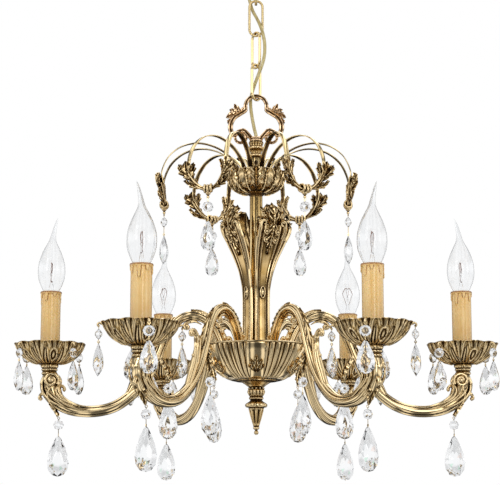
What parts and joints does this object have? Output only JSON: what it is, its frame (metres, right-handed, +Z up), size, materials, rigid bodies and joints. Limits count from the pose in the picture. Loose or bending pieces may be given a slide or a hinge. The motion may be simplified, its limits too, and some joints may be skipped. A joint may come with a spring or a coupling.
{
  "type": "multi arm chandelier",
  "caption": "Brass chandelier with curved candle arms, drip pans, a ribbon crown and crystal drops, hung on a chain from a ceiling plate.",
  "frame": {"origin": "centre of the ceiling plate's top face, which bears on the ceiling", "axes": "+Z up, along the chain and the column; +X towards arm 1; arms 2 to 6 follow every 60 degrees, anticlockwise seen from above"},
  "size_m": [0.6166, 0.5532, 0.732],
  "materials": {
    "cast_brass": "polished antique casting, dark in the recesses",
    "polished_brass": "polished",
    "hook_steel": "zinc plated",
    "candle_wax": "satin, wax coloured",
    "holder_plastic": "plain",
    "bulb_glass": "clear",
    "crystal_glass": "cut and polished",
    "cable_sheath": "translucent olive gold"
  },
  "bodies": {
    "ceiling_fitting": {"ceiling_hook": "hook_steel", "canopy": "cast_brass"},
    "chain_link_1": {"chain_link_1": "polished_brass"},
    "chain_link_2": {"chain_link_2": "polished_brass"},
    "chain_link_3": {"chain_link_3": "polished_brass"},
    "chain_link_4": {"chain_link_4": "polished_brass"},
    "fixture": {"supply_cable": "cable_sheath", "hanging_loop": "cast_brass", "loop_collar": "cast_brass", "upper_tube": "polished_brass", "crown_dish": "cast_brass", "centre_tube": "polished_brass", "bowl": "cast_brass", "finial": "cast_brass", "column_leaf_1": "cast_brass", "column_leaf_2": "cast_brass", "column_leaf_3": "cast_brass", "column_leaf_4": "cast_brass", "crown_swag_1": "cast_brass", "crown_swag_2": "cast_brass", "crown_swag_3": "cast_brass", "crown_swag_4": "cast_brass", "crown_swag_5": "cast_brass", "crown_swag_6": "cast_brass", "arm_1": "cast_brass", "arm_2": "cast_brass", "arm_3": "cast_brass", "arm_4": "cast_brass", "arm_5": "cast_brass", "arm_6": "cast_brass", "drip_pan_1": "cast_brass", "drip_pan_2": "cast_brass", "drip_pan_3": "cast_brass", "drip_pan_4": "cast_brass", "drip_pan_5": "cast_brass", "drip_pan_6": "cast_brass", "candle_sleeve_1": "candle_wax", "candle_sleeve_2": "candle_wax", "candle_sleeve_3": "candle_wax", "candle_sleeve_4": "candle_wax", "candle_sleeve_5": "candle_wax", "candle_sleeve_6": "candle_wax", "lampholder_1": "holder_plastic", "lampholder_2": "holder_plastic", "lampholder_3": "holder_plastic", "lampholder_4": "holder_plastic", "lampholder_5": "holder_plastic", "lampholder_6": "holder_plastic"},
    "bulb_1": {"bulb_1": "bulb_glass"},
    "bulb_2": {"bulb_2": "bulb_glass"},
    "bulb_3": {"bulb_3": "bulb_glass"},
    "bulb_4": {"bulb_4": "bulb_glass"},
    "bulb_5": {"bulb_5": "bulb_glass"},
    "bulb_6": {"bulb_6": "bulb_glass"},
    "arm_pendant_1": {"arm_pendant_1": "crystal_glass"},
    "arm_pendant_2": {"arm_pendant_2": "crystal_glass"},
    "arm_pendant_3": {"arm_pendant_3": "crystal_glass"},
    "arm_pendant_4": {"arm_pendant_4": "crystal_glass"},
    "arm_pendant_5": {"arm_pendant_5": "crystal_glass"},
    "arm_pendant_6": {"arm_pendant_6": "crystal_glass"}
  },
  "joints": [
    {"name": "chain_swing_1", "type": "hinge", "parent": "ceiling_fitting", "child": "chain_link_1", "pos_m": [0, 0, -0.0654], "axis": [1, 0, 0], "range_deg": [-8, 8], "deforming": ["supply_cable"]},
    {"name": "chain_swing_2", "type": "hinge", "parent": "chain_link_1", "child": "chain_link_2", "pos_m": [0, 0, -0.1085], "axis": [0, 1, 0], "range_deg": [-8, 8], "deforming": ["supply_cable"]},
    {"name": "chain_swing_3", "type": "hinge", "parent": "chain_link_2", "child": "chain_link_3", "pos_m": [0, 0, -0.1523], "axis": [1, 0, 0], "range_deg": [-8, 8], "deforming": ["supply_cable"]},
    {"name": "chain_swing_4", "type": "hinge", "parent": "chain_link_3", "child": "chain_link_4", "pos_m": [0, 0, -0.1961], "axis": [0.5592, -0.829, 0], "range_deg": [-8, 8], "deforming": ["supply_cable"]},
    {"name": "chain_swing_5", "type": "hinge", "parent": "chain_link_4", "child": "fixture", "pos_m": [0, 0, -0.2399], "axis": [0.6157, 0.788, 0], "range_deg": [-8, 8], "deforming": ["supply_cable"]},
    {"name": "pendant_swing_1", "type": "hinge", "parent": "fixture", "child": "arm_pendant_1", "pos_m": [0.251, 0, -0.6547], "axis": [0, 1, 0], "range_deg": [-15, 15]},
    {"name": "pendant_swing_2", "type": "hinge", "parent": "fixture", "child": "arm_pendant_2", "pos_m": [0.1255, 0.21737, -0.6547], "axis": [-0.866, 0.5, 0], "range_deg": [-15, 15]},
    {"name": "pendant_swing_3", "type": "hinge", "parent": "fixture", "child": "arm_pendant_3", "pos_m": [-0.1255, 0.21737, -0.6547], "axis": [-0.866, -0.5, 0], "range_deg": [-15, 15]},
    {"name": "pendant_swing_4", "type": "hinge", "parent": "fixture", "child": "arm_pendant_4", "pos_m": [-0.251, 0, -0.6547], "axis": [0, -1, 0], "range_deg": [-15, 15]},
    {"name": "pendant_swing_5", "type": "hinge", "parent": "fixture", "child": "arm_pendant_5", "pos_m": [-0.1255, -0.21737, -0.6547], "axis": [0.866, -0.5, 0], "range_deg": [-15, 15]},
    {"name": "pendant_swing_6", "type": "hinge", "parent": "fixture", "child": "arm_pendant_6", "pos_m": [0.1255, -0.21737, -0.6547], "axis": [0.866, 0.5, 0], "range_deg": [-15, 15]},
    {"name": "bulb_turn_1", "type": "hinge", "parent": "fixture", "child": "bulb_1", "pos_m": [0.264, 0, -0.495], "axis": [0, 0, 1], "continuous": true},
    {"name": "bulb_turn_2", "type": "hinge", "parent": "fixture", "child": "bulb_2", "pos_m": [0.132, 0.22863, -0.495], "axis": [0, 0, 1], "continuous": true},
    {"name": "bulb_turn_3", "type": "hinge", "parent": "fixture", "child": "bulb_3", "pos_m": [-0.132, 0.22863, -0.495], "axis": [0, 0, 1], "continuous": true},
    {"name": "bulb_turn_4", "type": "hinge", "parent": "fixture", "child": "bulb_4", "pos_m": [-0.264, 0, -0.495], "axis": [0, 0, 1], "continuous": true},
    {"name": "bulb_turn_5", "type": "hinge", "parent": "fixture", "child": "bulb_5", "pos_m": [-0.132, -0.22863, -0.495], "axis": [0, 0, 1], "continuous": true},
    {"name": "bulb_turn_6", "type": "hinge", "parent": "fixture", "child": "bulb_6", "pos_m": [0.132, -0.22863, -0.495], "axis": [0, 0, 1], "continuous": true}
  ]
}
